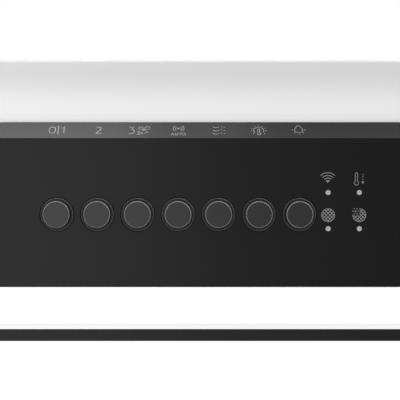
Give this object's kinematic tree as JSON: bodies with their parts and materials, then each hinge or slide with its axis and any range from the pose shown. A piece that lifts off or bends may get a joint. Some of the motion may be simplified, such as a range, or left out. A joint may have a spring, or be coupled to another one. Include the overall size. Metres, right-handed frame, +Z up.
{
  "type": "range hood",
  "caption": "Slim under-cabinet range hood: pale steel casing, chamfered black control band with round push buttons, recessed lamp bar and hinged black glass suction panel.",
  "frame": {"origin": "middle of the four fixing holes, on the casing's top face", "axes": "+Z up out of the top face, -Y towards the user, +X to the user's right"},
  "size_m": [0.598, 0.4635, 0.1763],
  "materials": {
    "casing_steel": "pale satin lacquer",
    "band_black": "satin",
    "button_black": "satin",
    "bezel_black": "satin",
    "glass_black": "gloss",
    "opal": "opal, lit",
    "pipe_clear": "frosted",
    "aluminium": "satin",
    "zinc_steel": "zinc coated",
    "bright_steel": "bright",
    "inner_plastic": "moulded",
    "box_plastic": "moulded",
    "board_green": "lacquered board",
    "board_white": "white board",
    "part_black": "moulded",
    "rubber": "matt",
    "core_iron": "laminated",
    "magnet": "plain",
    "carbon": "granulate in a drum"
  },
  "bodies": {
    "hood": {"upper_casing": "casing_steel", "front_fascia": "band_black", "canopy_frame": "band_black", "button_bezels": "bezel_black", "lamp_diffuser": "opal", "indicator_pipes": "pipe_clear", "lamp_channel": "aluminium", "left_filter_frame": "aluminium", "right_filter_frame": "aluminium", "left_filter_mesh": "aluminium", "right_filter_mesh": "aluminium", "filter_pads": "aluminium", "filter_deck": "zinc_steel", "hinge_brackets": "zinc_steel", "casing_screws": "bright_steel", "hanging_screws": "bright_steel", "control_fasteners": "bright_steel", "hinge_pins": "bright_steel", "motor_bearings": "bright_steel", "damper_axle": "bright_steel", "button_carrier": "inner_plastic", "control_cover": "inner_plastic", "lamp_end_caps": "inner_plastic", "blower_upper_shell": "inner_plastic", "blower_lower_shell": "inner_plastic", "inlet_ring": "inner_plastic", "outlet_elbow": "inner_plastic", "duct_collar": "inner_plastic", "cable_gland": "inner_plastic", "power_box": "box_plastic", "power_lid": "box_plastic", "control_board": "board_green", "power_board": "board_green", "lamp_board": "board_white", "lamp_lights": "board_white", "board_parts": "part_black", "power_parts": "part_black", "key_switches": "part_black", "blower_mounts": "rubber", "return_sleeves": "rubber", "motor_core": "core_iron", "magnet_catches": "magnet", "carbon_filter": "carbon"},
    "panel": {"glass_panel": "glass_black", "panel_tray": "zinc_steel", "hinge_leaves": "zinc_steel", "strike_plates": "bright_steel"},
    "fan": {"fan_wheel": "inner_plastic", "motor_shaft": "bright_steel"},
    "front_flap": {"front_flap": "inner_plastic"},
    "rear_flap": {"rear_flap": "inner_plastic"},
    "left_latch": {"left_filter_latch": "inner_plastic"},
    "right_latch": {"right_filter_latch": "inner_plastic"},
    "button_speed_one": {"button_speed_one": "button_black"},
    "button_speed_two": {"button_speed_two": "button_black"},
    "button_speed_three": {"button_speed_three": "button_black"},
    "button_auto": {"button_auto": "button_black"},
    "button_airflow": {"button_airflow": "button_black"},
    "button_light_tone": {"button_light_tone": "button_black"},
    "button_lamp": {"button_lamp": "button_black"}
  },
  "joints": [
    {"name": "button_speed_one_press", "type": "slide", "parent": "hood", "child": "button_speed_one", "axis": [0, 1, 0], "range_m": [0, 0.0015], "stiffness_N_per_m": 600, "deforming": ["return_sleeves"]},
    {"name": "button_speed_two_press", "type": "slide", "parent": "hood", "child": "button_speed_two", "axis": [0, 1, 0], "range_m": [0, 0.0015], "stiffness_N_per_m": 600, "deforming": ["return_sleeves"]},
    {"name": "button_speed_three_press", "type": "slide", "parent": "hood", "child": "button_speed_three", "axis": [0, 1, 0], "range_m": [0, 0.0015], "stiffness_N_per_m": 600, "deforming": ["return_sleeves"]},
    {"name": "button_auto_press", "type": "slide", "parent": "hood", "child": "button_auto", "axis": [0, 1, 0], "range_m": [0, 0.0015], "stiffness_N_per_m": 600, "deforming": ["return_sleeves"]},
    {"name": "button_airflow_press", "type": "slide", "parent": "hood", "child": "button_airflow", "axis": [0, 1, 0], "range_m": [0, 0.0015], "stiffness_N_per_m": 600, "deforming": ["return_sleeves"]},
    {"name": "button_light_tone_press", "type": "slide", "parent": "hood", "child": "button_light_tone", "axis": [0, 1, 0], "range_m": [0, 0.0015], "stiffness_N_per_m": 600, "deforming": ["return_sleeves"]},
    {"name": "button_lamp_press", "type": "slide", "parent": "hood", "child": "button_lamp", "axis": [0, 1, 0], "range_m": [0, 0.0015], "stiffness_N_per_m": 600, "deforming": ["return_sleeves"]},
    {"name": "panel_hinge", "type": "hinge", "parent": "hood", "child": "panel", "pos_m": [0, 0.15, -0.1318], "axis": [1, 0, 0], "range_deg": [0, 80]},
    {"name": "fan_spin", "type": "hinge", "parent": "hood", "child": "fan", "pos_m": [-0.08, -0.095, -0.04], "axis": [0, 0, 1], "continuous": true},
    {"name": "front_flap_swing", "type": "hinge", "parent": "hood", "child": "front_flap", "pos_m": [0, 0.095, -0.024], "axis": [-1, 0, 0], "range_deg": [0, 75]},
    {"name": "rear_flap_swing", "type": "hinge", "parent": "hood", "child": "rear_flap", "pos_m": [0, 0.095, -0.024], "axis": [1, 0, 0], "range_deg": [0, 75]},
    {"name": "left_latch_slide", "type": "slide", "parent": "hood", "child": "left_latch", "axis": [0, 1, 0], "range_m": [0, 0.006], "stiffness_N_per_m": 300},
    {"name": "right_latch_slide", "type": "slide", "parent": "hood", "child": "right_latch", "axis": [0, 1, 0], "range_m": [0, 0.006], "stiffness_N_per_m": 300}
  ]
}
